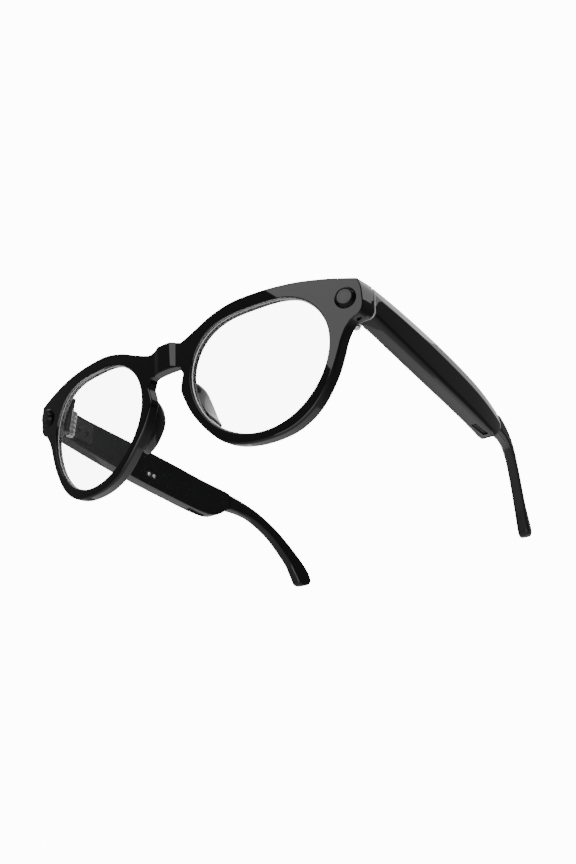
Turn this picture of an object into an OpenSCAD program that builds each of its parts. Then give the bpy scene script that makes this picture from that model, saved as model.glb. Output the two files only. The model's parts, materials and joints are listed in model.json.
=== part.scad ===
// Smart glasses: full-rim front, two deep end pieces, two folding temples with electronics.
// Frame: +X is the wearer's left, +Y points back along the temples, +Z is up.
// The origin lies on the symmetry plane, on the front face, at the height of the lens centres.

/* [Front] */
// Width across the end pieces
front_w = 142; // [141:0.5:144]
// Distance between the two lens openings
lens_gap = 22.2; // [22:0.1:23]
// Mean radius of a lens opening
lens_r = 22.5; // [22.2:0.1:22.6]
// Thickness of the rim
rim_t = 4.2; // [3.8:0.1:4.6]
// Radius of the front's wrap around the face
wrap_r = 278; // [260:5:320]
// Forward lean of the top of the front, in degrees
tilt = 9; // [7:0.5:10]

/* [Lenses] */
// Thickness of a lens
lens_t = 2.0; // [1.6:0.1:2.2]
// Depth of the lens behind the front face
lens_depth = 1.1; // [0.9:0.1:1.4]
// Depth of the groove around the lens
groove = 0.8; // [0.5:0.1:1]

/* [Camera and light] */
// Distance of the round bezels from the middle
eye_x = 66; // [65.8:0.1:66.2]
// Height of the bezels in the plane of the front
eye_z = 13.2; // [13:0.1:13.5]
// Radius of a bezel where it meets the front
bezel_r = 3.4; // [3.2:0.1:3.6]
// Radius of the dark window in a bezel
window_r = 2.3; // [2:0.1:2.4]
// Height of a bezel above the front face
bezel_h = 1.3; // [1:0.1:1.5]

/* [Temples] */
// Thickness of a temple beside the head
temple_t = 6; // [5.8:0.1:6.3]
// Thickness of the temple's walls
wall = 1.3; // [1.2:0.1:1.4]
// Thickness of the inner cover
cover_t = 1.2; // [1:0.1:1.2]
// Thickness of the ear tip
tip_t = 4.9; // [4.6:0.1:5.2]

/* [Hinges] */
// Distance of a hinge axis from the middle
hinge_x = 63.2; // [63:0.1:63.2]
// Distance of a hinge axis behind the front
hinge_y = 15.6; // [15.6:0.1:15.8]
// Outer radius of a hinge barrel
barrel_r = 1.7; // [1.6:0.1:1.7]
// Radius of a hinge pin
pin_r = 0.7; // [0.6:0.1:0.8]
// Number of knuckles in a hinge
knuckles = 5; // [3:2:5]

/* [Hidden] */
$fn = 48;

gap = 0.05;                            // running clearance
far = 200;                             // larger than the object
half_w = front_w / 2;
lens_x = lens_gap / 2 + lens_r + 2.15; // centre of a lens opening
lens_z = -0.4;
split_y = 13.8;                        // back of the end piece
temple_y = 14.0;                       // front of the temple
plate_t = 0.8;                         // hinge leaf on the end piece
leaf_t = 1.0;                          // hinge leaf on the temple
head_r = 0.8;                          // head of a small screw
head_h = 0.5;
barrel_z = 10.6;                       // lower end of the hinge barrel
barrel_h = 9;                          // length of the hinge barrel
cover_y0 = 27.4;                       // front end of the inner cover
cover_y1 = 99;                         // rear end of the inner cover
button_y = 24;                         // middle of the capture button
button_travel = 0.4;
switch_y = 35;                         // middle of the power switch at rest
switch_travel = 2;
contact_y = 58.6;                      // middle of the charging contacts
contact_z = 11;
port_y0 = 82;                          // speaker opening under the temple
port_y1 = 91;

black = "#141416";
clear = "#dfe6e8";
metal = "#b9bcc0";
board_green = "#1f5a3a";

// ---- curves ------------------------------------------------------------------------------

// One point of a smooth curve between b and c; a and d are the neighbours
function curve_point(a, b, c, d, t) =
    0.5 * (2 * b + (c - a) * t + (2 * a - 5 * b + 4 * c - d) * t * t
    + (3 * b - a - 3 * c + d) * t * t * t);

// A smooth open curve through the points p, with n steps between each two
function smooth(p, n = 4) = let (m = len(p) - 1) concat(
    [for (i = [0:m - 1], k = [0:n - 1])
        curve_point(i > 0 ? p[i - 1] : 2 * p[0] - p[1], p[i], p[i + 1],
            i < m - 1 ? p[i + 2] : 2 * p[m] - p[m - 1], k / n)],
    [p[m]]);

function reversed(p) = [for (i = [len(p) - 1:-1:0]) p[i]];
function mirrored(p) = [for (q = reversed(p)) [-q[0], q[1]]];
function shifted(p, d) = [for (q = p) [q[0], q[1] + d]];
function between(p, lo, hi) = [for (q = p) if (q[0] >= lo && q[0] <= hi) q];

// Rectangle with round corners
function round_rect(w, h, r, n = 6) = [for (c = [0:3], k = [0:n])
    let (a = 90 * c + 90 * k / n, sx = (c == 0 || c == 3) ? 1 : -1, sy = c < 2 ? 1 : -1)
    [sx * (w / 2 - r) + r * cos(a), sy * (h / 2 - r) + r * sin(a)]];

// ---- outlines of the front, in its own tilted plane (x, height) ---------------------------

// Edge of a lens opening: a round trapezoid, wider at the top and outer side
function opening_r(a) = lens_r + 0.18 - 0.18 * cos(a) + 0.43 * sin(a) + 1.9 * cos(2 * a)
    - 0.21 * cos(3 * a) + 1.02 * sin(3 * a) - 0.2 * cos(4 * a);
function opening(grow = 0) = [for (a = [0:5:355]) let (r = opening_r(a) + grow)
    [lens_x + r * cos(a), lens_z + r * sin(a)]];

brow = [[0, 17.9], [3.2, 17.8], [5.3, 17.0], [7.6, 16.6], [14, 18.9], [20, 21.4], [28, 23.4],
    [36, 23.8], [44, 23.6], [52, 22.8], [60, 21.3], [66, 19.8], [half_w - 0.9, 18.7]];
end_piece = [[half_w - 0.9, 18.7], [half_w - 0.55, 17.6], [half_w - 0.1, 15.4], [half_w, 10.8],
    [half_w - 0.4, 8.7], [half_w - 1.6, 7.2], [half_w - 3.6, 6.2], [65.6, 4.2]];
lower_rim = [[65.6, 4.2], [63.9, 1], [62.6, -2.8], [60.6, -8], [58, -12.7], [55, -16.9],
    [51.2, -20.4], [46.5, -23], [41, -24.3], [34.5, -24.6], [28, -23.7], [22.4, -21.5],
    [17.9, -17.9], [14.2, -14], [10.4, -9], [7.8, -3.9], [6.3, 0], [6.6, 1.6], [7.6, 5.4]];
keyhole = [[7.6, 5.4], [7.2, 7.2], [5.4, 8.4], [0, 8.7]];
half_front = concat(smooth(brow, 3), smooth(end_piece, 2), smooth(lower_rim, 3), smooth(keyhole, 3));
front_outline = concat(half_front, mirrored(half_front));

// ---- outlines of a temple ------------------------------------------------------------------

// Upper and lower edge seen from the side (y, z)
top_edge = [[temple_y, 20.8], [30, 20.8], [50, 20.6], [70, 20], [85, 19], [102, 17.9],
    [111, 16.8], [120, 13.9], [130, 7.7], [139.5, -0.4], [144.6, -5.6], [147.2, -9.6]];
tip_end = [[147.2, -9.6], [147.5, -12], [146, -13.6], [142.6, -13.9], [140.6, -12.4]];
low_edge = [[140.6, -12.4], [137.2, -7.2], [130, 1.8], [120, 8.2], [111, 11], [103, 10.2], [98, 7.8],
    [93, 5.5], [84, 4.8], [70, 5.7], [50, 6.8], [30, 8.5], [temple_y, 10.2]];
temple_side = concat(smooth(top_edge), smooth(tip_end), smooth(low_edge));

// Outer and inner face seen from above (y, x)
outer_face = smooth([[12, half_w], [30, half_w + 0.2], [50, half_w], [70, half_w - 0.6],
    [85, half_w - 1.4], [98, half_w - 3], [110, half_w - 5], [120, half_w - 7.3],
    [130, half_w - 10.5], [140, half_w - 13.8], [151, half_w - 16.6]]);
inner_face = smooth([[12, half_w - temple_t], [30, half_w + 0.2 - temple_t], [50, half_w - temple_t],
    [70, half_w - 0.6 - temple_t], [85, half_w - 1.4 - temple_t], [98, half_w - 3 - temple_t],
    [110, half_w - 5 - tip_t], [120, half_w - 7.3 - tip_t], [130, half_w - 10.5 - tip_t],
    [140, half_w - 13.8 - tip_t], [151, half_w - 16.6 - tip_t]]);

// ---- helpers ---------------------------------------------------------------------------------

// Solid of an outline drawn in the plane of the front, from depth y0 to y1
module front_prism(outline, y0 = -10, y1 = 30)
    rotate([tilt, 0, 0]) translate([0, y1, 0]) rotate([90, 0, 0])
        linear_extrude(y1 - y0) polygon(outline);

// Everything deeper than d behind the wrapped front face
module behind_face(d)
    rotate([tilt, 0, 0]) translate([0, wrap_r, 0])
        cylinder(r = wrap_r - d, h = far, center = true, $fn = 360);

module face_layer(d0, d1) difference() {
    behind_face(d0);
    behind_face(d1);
}

// Puts a child on the front face at x and height z; the child's +Z points forward out of the face
module on_face(x, z) {
    sag = wrap_r - sqrt(wrap_r * wrap_r - x * x);
    rotate([tilt, 0, 0]) translate([x, sag, z]) rotate([0, 0, asin(x / wrap_r)]) rotate([90, 0, 0])
        children();
}

// Upright solid between two faces given as (y, x) from above
module plan_prism(inner, outer) translate([0, 0, -40]) linear_extrude(80)
    polygon([for (q = concat(inner, reversed(outer))) [q[1], q[0]]]);

// Solid of a side outline (y, z), between two such faces
module temple_solid(side, inner, outer) intersection() {
    rotate([90, 0, 90]) linear_extrude(half_w + 5) polygon(side);
    plan_prism(inner, outer);
}

// Side outline of the hollow in a temple, from y0 to y1
function hollow_side(y0, y1, w = wall) = let (top = shifted(between(smooth(top_edge), y0, y1), -w),
    low = shifted(between(smooth(low_edge), y0, y1), w)) concat(top, low);

// Box by its corner and size, with the edges along X rounded
module slab(pos, size, r = 0.4)
    translate(pos + [0, size[1] / 2, size[2] / 2]) rotate([90, 0, 90])
        linear_extrude(size[0]) polygon(round_rect(size[1], size[2], r));

module side_of(s) if (s > 0) children(); else mirror([1, 0, 0]) children();

// ---- front ----------------------------------------------------------------------------------

module end_block() intersection() {
    rotate([tilt, 0, 0]) translate([60.4, -10, 7.4]) cube([20, 40, 20]);
    translate([0, -10, -50]) linear_extrude(100)
        polygon([[57, 20], [60.4, 22.6], [60.4, 10 + split_y], [80, 10 + split_y], [80, 0], [57, 0]]);
}

module front_body() color(black) intersection() {
    front_prism(front_outline);
    union() {
        face_layer(0, rim_t);
        intersection() {
            behind_face(rim_t / 2);
            union() {
                end_block();
                mirror([1, 0, 0]) end_block();
            }
        }
    }
}

// Screw places on the hinge leaf of an end piece (x, z)
front_screws = [[61.6, 13.3], [61.6, 16.9]];
// Screw places on the hinge leaf of a temple (y, z)
rear_screws = [[20.4, 15.1], [24.2, 15.1]];

module end_piece_cuts() {
    // room for the electronics behind the bezel, and the bore for its window
    on_face(eye_x, eye_z) translate([-2.9, -2.8, -9.2]) cube([5.8, 5.7, 7.6]);
    on_face(eye_x, eye_z) translate([0, 0, -3]) cylinder(r = window_r + 0.1, h = 5);
    // seat of the hinge leaf
    translate([60.4, split_y - plate_t, 10.6]) cube([9.6, 10, 9.2]);
    for (s = front_screws) translate([s[0], 7, s[1]]) rotate([-90, 0, 0]) cylinder(r = 0.55, h = 8);
    // microphone room and its port
    translate([66.6, 8.6, 9.4]) cube([3, 2.2, 1.6]);
    translate([68.2, 9.8, 4]) cylinder(r = 0.45, h = 6);
}

module flex_band(extra, d0, d1) {
    band = [[60.6, 16.3], [56, 19.4], [48, 21.2], [38, 21.9], [28, 21.6], [20, 19.2], [12, 15.6],
        [6, 13.4], [0, 13]];
    upper = smooth([for (q = band) [q[0], q[1] + 0.4 + extra]], 2);
    lower = smooth([for (q = band) [q[0], q[1] - 0.4 - extra]], 2);
    half = concat(upper, reversed(lower));
    intersection() {
        face_layer(d0, d1);
        union() {
            front_prism(half);
            mirror([1, 0, 0]) front_prism(half);
        }
    }
}

module front_frame() color(black) difference() {
    front_body();
    for (s = [1, -1]) side_of(s) {
        front_prism(opening());
        intersection() {
            front_prism(opening(groove + 0.05));
            face_layer(lens_depth - 0.02, lens_depth + lens_t + 0.02);
        }
        end_piece_cuts();
    }
    flex_band(0.15, 3.25, 3.75);
}

module lens() color(clear, 0.3) intersection() {
    front_prism(opening(groove));
    face_layer(lens_depth, lens_depth + lens_t);
}

// A pad is a thin rounded fin that leans outward from the nose
pad_root = [[8.9, 3.4, 3.4], [9.6, 3.8, -2], [12.2, 4.4, -7.6], [15.2, 5, -11.6]];
pad_crest = [[9.7, 7.6, 3], [10.7, 10.6, -2], [13.4, 11, -8], [16.6, 10, -12.4]];
module nose_pad() color(black) intersection() {
    union() for (i = [0:2]) hull() for (k = [i, i + 1]) {
        translate(pad_root[k]) sphere(r = 1.9, $fn = 16);
        translate(pad_crest[k]) sphere(r = 1.1, $fn = 16);
    }
    behind_face(rim_t);
}

module bezel() color(black) on_face(eye_x, eye_z) rotate_extrude($fn = 64)
    polygon([[window_r + 0.1, 0.05], [bezel_r, 0.05], [bezel_r - 0.1, 0.5], [window_r + 0.6, bezel_h],
        [window_r + 0.1, bezel_h]]);

module window_disc() color("#303134") on_face(eye_x, eye_z) translate([0, 0, 0.1])
    cylinder(r = window_r, h = bezel_h - 0.25);

module camera_module() color("#1b1b1d") on_face(eye_x, eye_z) {
    translate([-2.6, -2.5, -5.8]) cube([5.2, 5, 3.6]);
    translate([0, 0, -2.3]) cylinder(r = 1.8, h = 2.2);
}

module indicator_board() color(board_green) on_face(eye_x, eye_z) {
    translate([-2.6, -2.5, -3.4]) cube([5.2, 5, 0.8]);
    translate([-0.9, -0.7, -2.7]) cube([1.8, 1.4, 1.2]);
}

module front_flex() color("#8a5a20") flex_band(0, 3.3, 3.5);

module microphone() color("#9a9da0") translate([66.8, 8.8, 9.6]) cube([2.6, 1.8, 1]);

// ---- hinges ---------------------------------------------------------------------------------

knuckle_h = barrel_h / knuckles;
module knuckle(i) translate([hinge_x, hinge_y, barrel_z + i * knuckle_h + gap / 2])
    cylinder(r = barrel_r, h = knuckle_h - gap);
module pin_bore() translate([hinge_x, hinge_y, barrel_z - 1]) cylinder(r = pin_r + gap, h = barrel_h + 2);

module hinge_front() color(metal) difference() {
    union() {
        translate([60.5, split_y - plate_t + 0.02, 10.7]) cube([9.4, plate_t - 0.02, 9]);
        for (i = [0:2:knuckles - 1]) {
            knuckle(i);
            translate([hinge_x - 1.2, split_y - 0.4, barrel_z + i * knuckle_h + gap / 2])
                cube([2.4, hinge_y - split_y, knuckle_h - gap]);
        }
    }
    pin_bore();
    for (s = front_screws) translate([s[0], 10, s[1]]) rotate([-90, 0, 0]) {
        cylinder(r = 0.55, h = 8);
        translate([0, 0, split_y - head_h - 10 - gap]) cylinder(r = head_r + gap, h = 2);
    }
}

module hinge_rear() color(metal) difference() {
    union() {
        slab([half_w - temple_t - leaf_t, 17.5, 11.2], [leaf_t, 9.2, 7.8], 1.2);
        for (i = [1:2:knuckles - 1]) {
            knuckle(i);
            translate([hinge_x + 0.4, hinge_y, barrel_z + i * knuckle_h + gap / 2])
                cube([half_w - temple_t - hinge_x - 0.4, 3, knuckle_h - gap]);
        }
    }
    pin_bore();
    for (s = rear_screws) translate([60, s[0], s[1]]) rotate([0, 90, 0]) cylinder(r = 0.55, h = 8);
}

module hinge_pin() color(metal) difference() {
    union() {
        translate([hinge_x, hinge_y, barrel_z - 0.2]) cylinder(r = pin_r, h = barrel_h + 0.4);
        translate([hinge_x, hinge_y, barrel_z - 0.8]) cylinder(r = 1.3, h = 0.8);
    }
    translate([hinge_x - 2, hinge_y - 0.15, barrel_z - 1.8]) cube([4, 0.3, 1.3]);
}

// A small screw from z = 0 up, its head below
module small_screw(length) difference() {
    union() {
        translate([0, 0, -head_h]) cylinder(r = head_r, h = head_h);
        cylinder(r = 0.5, h = length);
    }
    translate([-1.5, -0.12, -1 - head_h + 0.25]) cube([3, 0.24, 1]);
}
module front_screw_pair() color(metal) for (s = front_screws)
    translate([s[0], split_y - head_h, s[1]]) rotate([90, 0, 0]) small_screw(3.6);
module rear_screw_pair() color(metal) for (s = rear_screws)
    translate([half_w - temple_t - leaf_t, s[0], s[1]]) rotate([0, 90, 0]) small_screw(4.2);

// ---- temples ----------------------------------------------------------------------------------

module temple_shell() color(black) difference() {
    temple_solid(temple_side, inner_face, outer_face);
    // inner cover and the hollow behind it
    intersection() {
        plan_prism(shifted(inner_face, -2), shifted(inner_face, cover_t));
        translate([0, cover_y0, -50]) cube([far, cover_y1 - cover_y0, 100]);
    }
    temple_solid(hollow_side(30, 97), shifted(inner_face, 0.5), shifted(outer_face, -wall));
    // speaker opening in the lower wall
    speaker_port();
    for (s = rear_screws) translate([half_w - temple_t - 1, s[0], s[1]]) rotate([0, 90, 0])
        cylinder(r = 0.55, h = 4.4);
    tip_core_solid(0.05);
}

module speaker_port() translate([half_w - 5.8, port_y0, 0]) cube([2, port_y1 - port_y0, 8]);

module temple_cover() color(black) intersection() {
    temple_solid(temple_side, inner_face, shifted(inner_face, cover_t));
    translate([0, cover_y0 + gap, -50]) cube([far, cover_y1 - cover_y0 - 2 * gap, 100]);
}

// Metal strip in the middle of the ear tip
core_line = [[101, 14.2], [111, 13.9], [120, 11.1], [130, 4.8], [138, -3.6], [140.6, -6.4]];
module tip_core_solid(extra = 0) {
    side = concat(smooth(shifted(core_line, 0.9 + extra), 3),
        reversed(smooth(shifted(core_line, -0.9 - extra), 3)));
    temple_solid(side, shifted(inner_face, tip_t / 2 - 0.5 - extra),
        shifted(inner_face, tip_t / 2 + 0.5 + extra));
}
module tip_core() color(metal) tip_core_solid();

module battery() color("#3c5f8a") slab([half_w - 4.95, 58.2, 7.8], [2.4, 20, 9.4], 1);
module board(y0, y1) color(board_green) {
    slab([half_w - 2.6, y0, 10.6], [0.8, y1 - y0, 7.4], 0.6);
    for (k = [0:floor((y1 - y0) / 6.5) - 1])
        translate([half_w - 3.5, y0 + 1.5 + k * 6.5, 12]) cube([0.9, 4.5 - k * 0.8, 4.4]);
}
module speaker() color("#46484c") translate([half_w - 5.9, port_y0, 7.6]) cube([2.3, port_y1 - port_y0, 8]);
module speaker_grille() color("#202022") difference() {
    translate([half_w - 5.8 + gap, port_y0 + gap, 5.4]) cube([2 - 2 * gap, port_y1 - port_y0 - 2 * gap, 0.9]);
    for (k = [0:5]) translate([half_w - 5.3, port_y0 + 0.9 + k * 1.3, 4]) cube([1, 0.7, 4]);
}

// ---- controls, contacts and touch strip --------------------------------------------------------

module power_switch() color("#28282a") {
    translate([65.4, switch_y - 1.4, 14.4]) cube([1.3, 2.8, 1.6]);
    translate([66.5, switch_y - 2.2, 13.6]) cube([0.8, 4.4, 3.2]);
    translate([64.9, switch_y - 0.8, 14.5]) cube([0.8, 1.6, 1.4]);
}
module switch_slot() translate([60, switch_y - 1.5, 14.3]) cube([10, 2.9 + switch_travel + 0.1, 1.8]);

module capture_button() color("#1c1c1e") {
    translate([68.3, button_y, 18.8]) linear_extrude(2.5) polygon(round_rect(2.2, 7.6, 1.05));
    translate([68.3, button_y, 18.3]) linear_extrude(0.6) polygon(round_rect(3, 8.6, 1));
}
module button_slot() {
    translate([68.3, button_y, 18]) linear_extrude(5) polygon(round_rect(2.4, 7.8, 1.15));
    translate([68.3, button_y, 17.8 - button_travel]) linear_extrude(1.2 + button_travel)
        polygon(round_rect(3.3, 8.9, 1.1));
}

module contact_window(extra) translate([half_w - 6.6, contact_y, contact_z]) rotate([90, 0, 90])
    linear_extrude(3) polygon(round_rect(6 + 2 * extra, 3 + 2 * extra, 1));
module contact_carrier() color("#2a2a2c") difference() {
    intersection() {
        translate([-0.2, 0, 0]) contact_window(-0.05);
        translate([half_w - 6.15, 0, 0]) cube([1.2, far, 40]);
    }
    contact_bores(0.78);
}
module contact_bores(r) for (k = [-1, 1])
    translate([half_w - 7, contact_y + 1.4 * k, contact_z]) rotate([0, 90, 0]) cylinder(r = r, h = 5);
module charging_contacts() color(metal) intersection() {
    contact_bores(0.76);
    translate([half_w - 6.35, 0, 0]) cube([1.35, far, 40]);
}
module touch_sensor() color("#a06a28")
    temple_solid(hollow_side(34, 72, 2.6), shifted(outer_face, -wall - 0.3), shifted(outer_face, -wall - 0.1));

// ---- left and right pieces ----------------------------------------------------------------------

module right() mirror([1, 0, 0]) children();

module left_temple_cover() difference() {
    temple_cover();
    switch_slot();
}
module right_temple_shell() right() difference() {
    temple_shell();
    button_slot();
}
module right_temple_cover() right() difference() {
    temple_cover();
    contact_window(0);
}

front_frame();
lens();  // left_lens
right() lens();  // right_lens
nose_pad();  // left_nose_pad
right() nose_pad();  // right_nose_pad
bezel();  // camera_bezel
window_disc();  // camera_window
camera_module();
right() bezel();  // indicator_bezel
right() window_disc();  // indicator_window
right() indicator_board();
front_flex();
microphone();  // left_microphone
right() microphone();  // right_microphone
hinge_front();  // left_hinge_front
right() hinge_front();  // right_hinge_front
hinge_pin();  // left_hinge_pin
right() hinge_pin();  // right_hinge_pin
front_screw_pair();  // left_front_screws
right() front_screw_pair();  // right_front_screws
temple_shell();  // left_temple_shell
left_temple_cover();
hinge_rear();  // left_hinge_rear
rear_screw_pair();  // left_rear_screws
battery();  // left_battery
board(42, 56);  // left_board
speaker();  // left_speaker
speaker_grille();  // left_speaker_grille
tip_core();  // left_tip_core
power_switch();
right_temple_shell();
right_temple_cover();
right() hinge_rear();  // right_hinge_rear
right() rear_screw_pair();  // right_rear_screws
right() battery();  // right_battery
right() board(32, 52);  // main_board
right() speaker();  // right_speaker
right() speaker_grille();  // right_speaker_grille
right() tip_core();  // right_tip_core
right() touch_sensor();
right() contact_carrier();
right() charging_contacts();
right() capture_button();
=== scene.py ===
"""Smart glasses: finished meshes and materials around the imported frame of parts.

Lengths in the classes are in millimetres and angles in degrees. The row frame is kept:
+X is the wearer's left, +Y points back along the temples and +Z is up.
"""

import json
import logging
import math
from contextlib import contextmanager
from dataclasses import dataclass
from enum import Enum
from typing import Callable, Iterator, Sequence

import bpy
from mathutils import Matrix, Vector


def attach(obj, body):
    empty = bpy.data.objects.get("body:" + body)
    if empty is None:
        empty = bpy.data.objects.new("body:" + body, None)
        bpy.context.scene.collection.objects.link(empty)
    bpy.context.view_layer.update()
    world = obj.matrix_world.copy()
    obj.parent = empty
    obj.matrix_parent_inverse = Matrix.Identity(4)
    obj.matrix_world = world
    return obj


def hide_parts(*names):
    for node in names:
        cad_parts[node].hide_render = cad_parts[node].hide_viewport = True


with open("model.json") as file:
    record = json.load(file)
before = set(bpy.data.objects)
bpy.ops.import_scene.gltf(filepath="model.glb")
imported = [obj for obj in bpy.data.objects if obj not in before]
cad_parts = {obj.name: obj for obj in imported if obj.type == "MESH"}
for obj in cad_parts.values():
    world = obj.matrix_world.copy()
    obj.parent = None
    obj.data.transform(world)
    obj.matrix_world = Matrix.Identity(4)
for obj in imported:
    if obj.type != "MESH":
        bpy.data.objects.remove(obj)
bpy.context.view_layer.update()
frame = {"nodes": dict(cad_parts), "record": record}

LOG = logging.getLogger("glasses")
MM = 0.001
Point = tuple[float, float]
FaceTest = Callable[[Vector, Vector], bool]


class Side(Enum):
    """The wearer's left (+X) or right (-X) side."""

    LEFT = 1
    RIGHT = -1

    @property
    def word(self) -> str:
        """The side's name in lower case, as node names use it."""
        return self.name.lower()

    @property
    def body(self) -> str:
        """The body of the temple on this side."""
        return f"{self.word}_temple"


# ---- curves and modelling helpers -----------------------------------------------------------


def curve_value(points: Sequence[Sequence[float]], t: float) -> list[float]:
    """Evaluates a smooth curve through evenly numbered points.

    Args:
        points: the points, each with the same number of values.
        t: the place on the curve, from 0 at the first point to len - 1 at the last.

    Returns:
        The values at that place.
    """
    last = len(points) - 1
    i = min(max(int(t), 0), last - 1)
    u = t - i
    b, c = points[i], points[i + 1]
    a = points[i - 1] if i > 0 else [2 * p - q for p, q in zip(b, c)]
    d = points[i + 2] if i + 2 <= last else [2 * q - p for p, q in zip(b, c)]
    return [
        0.5 * (2 * q + (r - p) * u + (2 * p - 5 * q + 4 * r - s) * u * u + (3 * q - p - 3 * r + s) * u ** 3)
        for p, q, r, s in zip(a, b, c, d)
    ]


def smooth_curve(points: Sequence[Point], steps: int) -> list[Point]:
    """Samples a smooth curve through points.

    Args:
        points: the control points.
        steps: samples between two control points.

    Returns:
        The sampled points, both ends included.
    """
    count = (len(points) - 1) * steps
    return [tuple(curve_value(points, k / steps)) for k in range(count + 1)]


def lookup(points: Sequence[Point], x: float) -> float:
    """Reads a sampled curve of rising x at x, in a straight line between samples."""
    for (x0, y0), (x1, y1) in zip(points, points[1:]):
        if x <= x1:
            return y0 + (y1 - y0) * (x - x0) / (x1 - x0) if x1 > x0 else y0
    return points[-1][1]


def spread(points: Sequence[Point], count: int) -> list[Point]:
    """Places points evenly along a polyline.

    Args:
        points: the polyline.
        count: how many intervals to make.

    Returns:
        count + 1 points, evenly spaced by length.
    """
    lengths = [0.0]
    for p, q in zip(points, points[1:]):
        lengths.append(lengths[-1] + math.dist(p, q))
    out = []
    for k in range(count + 1):
        want = lengths[-1] * k / count
        i = max(j for j in range(len(lengths)) if lengths[j] <= want + 1e-9)
        i = min(i, len(points) - 2)
        part = (want - lengths[i]) / max(lengths[i + 1] - lengths[i], 1e-9)
        out.append(tuple(a + (b - a) * part for a, b in zip(points[i], points[i + 1])))
    return out


def deselect_all() -> None:
    """Leaves nothing selected and nothing active."""
    for item in bpy.context.selected_objects:
        item.select_set(False)
    bpy.context.view_layer.objects.active = None


def pick(*items: bpy.types.Object) -> None:
    """Selects only the given objects and makes the first one active."""
    deselect_all()
    for item in items:
        item.select_set(True)
    bpy.context.view_layer.objects.active = items[0]


def named(name: str) -> bpy.types.Object:
    """Names the object in hand and its mesh, and returns it."""
    item = bpy.context.object
    item.name = name
    item.data.name = name
    return item


@contextmanager
def editing(item: bpy.types.Object) -> Iterator[None]:
    """Works on one object in edit mode with everything selected at the start."""
    pick(item)
    bpy.ops.object.mode_set(mode="EDIT")
    bpy.ops.mesh.select_all(action="SELECT")
    yield
    bpy.ops.object.mode_set(mode="OBJECT")


def face_outwards() -> None:
    """Selects the whole mesh in edit mode and makes its normals point outwards."""
    bpy.ops.mesh.select_all(action="SELECT")
    bpy.ops.mesh.normals_make_consistent(inside=False)


def extrude(offset: Sequence[float]) -> None:
    """Pulls the selected region of the mesh out by an offset in metres."""
    bpy.ops.mesh.extrude_region_move(TRANSFORM_OT_translate={"value": offset})


def select_faces(item: bpy.types.Object, test: FaceTest) -> None:
    """Selects the faces that pass a test on their centre and normal.

    Args:
        item: the mesh object, in edit mode.
        test: takes the face's centre and normal.
    """
    bpy.ops.mesh.select_mode(type="FACE")
    bpy.ops.mesh.select_all(action="DESELECT")
    bpy.ops.object.mode_set(mode="OBJECT")
    for face in item.data.polygons:
        face.select = bool(test(face.center, face.normal))
    bpy.ops.object.mode_set(mode="EDIT")


def paint(item: bpy.types.Object, test: FaceTest) -> None:
    """Gives the second material to the faces whose centre and normal pass a test."""
    for face in item.data.polygons:
        face.material_index = int(test(face.center, face.normal))


def mapped_grid(name: str, columns: int, rows: int, place: Callable[[float, float], Sequence[float]],
                closed: bool = False) -> bpy.types.Object:
    """Adds a grid of quads and puts every point where a rule says.

    Args:
        name: the object's name.
        columns: quads along the first direction.
        rows: quads along the second direction.
        place: takes the place in the grid, 0 to 1 each way, and returns millimetres.
        closed: whether the second direction closes on itself.

    Returns:
        The new object.
    """
    deselect_all()
    bpy.ops.mesh.primitive_grid_add(x_subdivisions=columns, y_subdivisions=rows, size=2, location=(0, 0, 0))
    item = named(name)
    for vertex in item.data.vertices:
        u, v = (vertex.co.x + 1) / 2, (vertex.co.y + 1) / 2
        vertex.co = Vector(place(u, v)) * MM
    if closed:
        with editing(item):
            bpy.ops.mesh.remove_doubles(threshold=0.002 * MM)
    return item


def close_ends(item: bpy.types.Object) -> None:
    """Fills the open loops of a mesh and makes its normals point outwards."""
    with editing(item):
        bpy.ops.mesh.fill_holes(sides=0)
        face_outwards()


def join(items: Sequence[bpy.types.Object], name: str, weld: float = 0.01) -> bpy.types.Object:
    """Joins objects into one and welds points closer than weld millimetres."""
    pick(*items)
    bpy.ops.object.join()
    item = named(name)
    with editing(item):
        bpy.ops.mesh.remove_doubles(threshold=weld * MM)
        face_outwards()
    return item


def apply_modifier(item: bpy.types.Object, kind: str, **settings: object) -> None:
    """Adds a modifier with settings and applies it."""
    pick(item)
    modifier = item.modifiers.new(kind.lower(), kind)
    for key, value in settings.items():
        setattr(modifier, key, value)
    bpy.ops.object.modifier_apply(modifier=modifier.name)


def bevel(item: bpy.types.Object, width: float, segments: int = 3, angle: float = 35.0) -> None:
    """Rounds the edges sharper than angle by width millimetres."""
    apply_modifier(item, "BEVEL", width=width * MM, segments=segments, limit_method="ANGLE",
                   angle_limit=math.radians(angle), use_clamp_overlap=True, harden_normals=False)


def carve(item: bpy.types.Object, cutter: bpy.types.Object) -> None:
    """Cuts the cutter's shape out of an object and removes the cutter."""
    apply_modifier(item, "BOOLEAN", operation="DIFFERENCE", solver="EXACT", object=cutter)
    bpy.data.objects.remove(cutter)


def finish_shading(item: bpy.types.Object, angle: float = 40.0) -> None:
    """Shades smooth up to an angle and weights normals by face area, so flat faces stay flat."""
    pick(item)
    bpy.ops.object.shade_smooth_by_angle(angle=math.radians(angle))
    apply_modifier(item, "WEIGHTED_NORMAL", mode="FACE_AREA", weight=50, keep_sharp=True)


def mirror_copy(item: bpy.types.Object, name: str) -> bpy.types.Object:
    """Copies an object to the other side of the symmetry plane, faces pointing outwards."""
    pick(item)
    bpy.ops.object.duplicate()
    twin = named(name)
    for vertex in twin.data.vertices:
        vertex.co.x = -vertex.co.x
    with editing(twin):
        bpy.ops.mesh.flip_normals()
    return twin


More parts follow.
